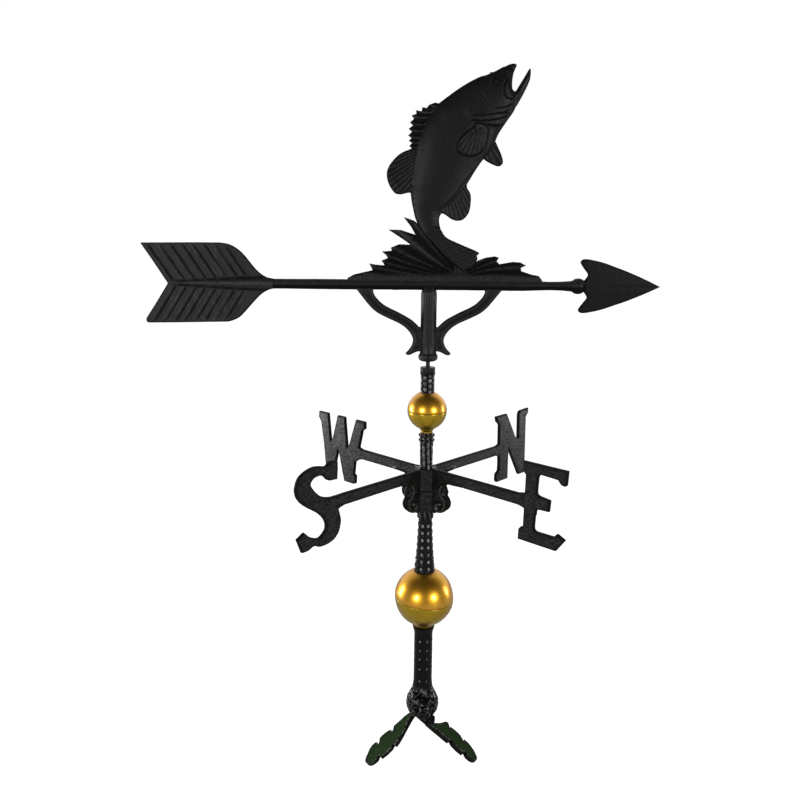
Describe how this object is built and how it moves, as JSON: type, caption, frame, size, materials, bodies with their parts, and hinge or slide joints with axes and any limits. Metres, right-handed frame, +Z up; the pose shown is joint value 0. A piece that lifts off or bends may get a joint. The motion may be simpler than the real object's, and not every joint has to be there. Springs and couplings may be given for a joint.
{
  "type": "weathervane",
  "caption": "Roof-ridge weathervane: an arrow with a leaping bass turns on a mast of columns and globes over direction letters, on two hinged leaf feet.",
  "frame": {"origin": "on the spindle axis at the ridge of the roof, where the undersides of the two leaf feet meet at rest", "axes": "+Z up the spindle, +X the way the arrow points at rest, -Y the front that the picture shows"},
  "size_m": [0.5555, 0.2778, 0.8034],
  "materials": {
    "cast_black": "satin black powder coat over cast aluminium",
    "leaf_green": "satin dark green powder coat over cast aluminium",
    "gold": "spun and satin lacquered",
    "steel": "plain steel",
    "bush": "moulded"
  },
  "bodies": {
    "mast": {"base_column": "cast_black", "spindle_rod": "steel", "large_globe_lower": "gold", "large_globe_upper": "gold", "lower_column": "cast_black", "directional_north_south": "cast_black", "directional_east_west": "cast_black", "hub_set_screws": "steel", "middle_column": "cast_black", "small_globe_lower": "gold", "small_globe_upper": "gold", "upper_column": "cast_black", "pivot_pin": "steel", "pivot_bolt": "steel", "pivot_washers": "steel", "pivot_lock_washer": "steel", "pivot_nut": "steel"},
    "arrow": {"arrow_casting": "cast_black", "bass_ornament": "cast_black", "ornament_screws": "steel", "thrust_ball": "steel", "lower_bush": "bush", "upper_bush": "bush"},
    "leg_right": {"leg_right": "leaf_green"},
    "leg_left": {"leg_left": "leaf_green"}
  },
  "joints": [
    {"name": "arrow_spin", "type": "hinge", "parent": "mast", "child": "arrow", "pos_m": [0, 0, 0.47], "axis": [0, 0, 1], "continuous": true},
    {"name": "leg_right_pitch", "type": "hinge", "parent": "mast", "child": "leg_right", "pos_m": [0, 0, 0.01379], "axis": [0, 1, 0], "range_deg": [-33.5, 16.5]},
    {"name": "leg_left_pitch", "type": "hinge", "parent": "mast", "child": "leg_left", "pos_m": [0, 0, 0.01379], "axis": [0, -1, 0], "range_deg": [-33.5, 16.5]}
  ]
}
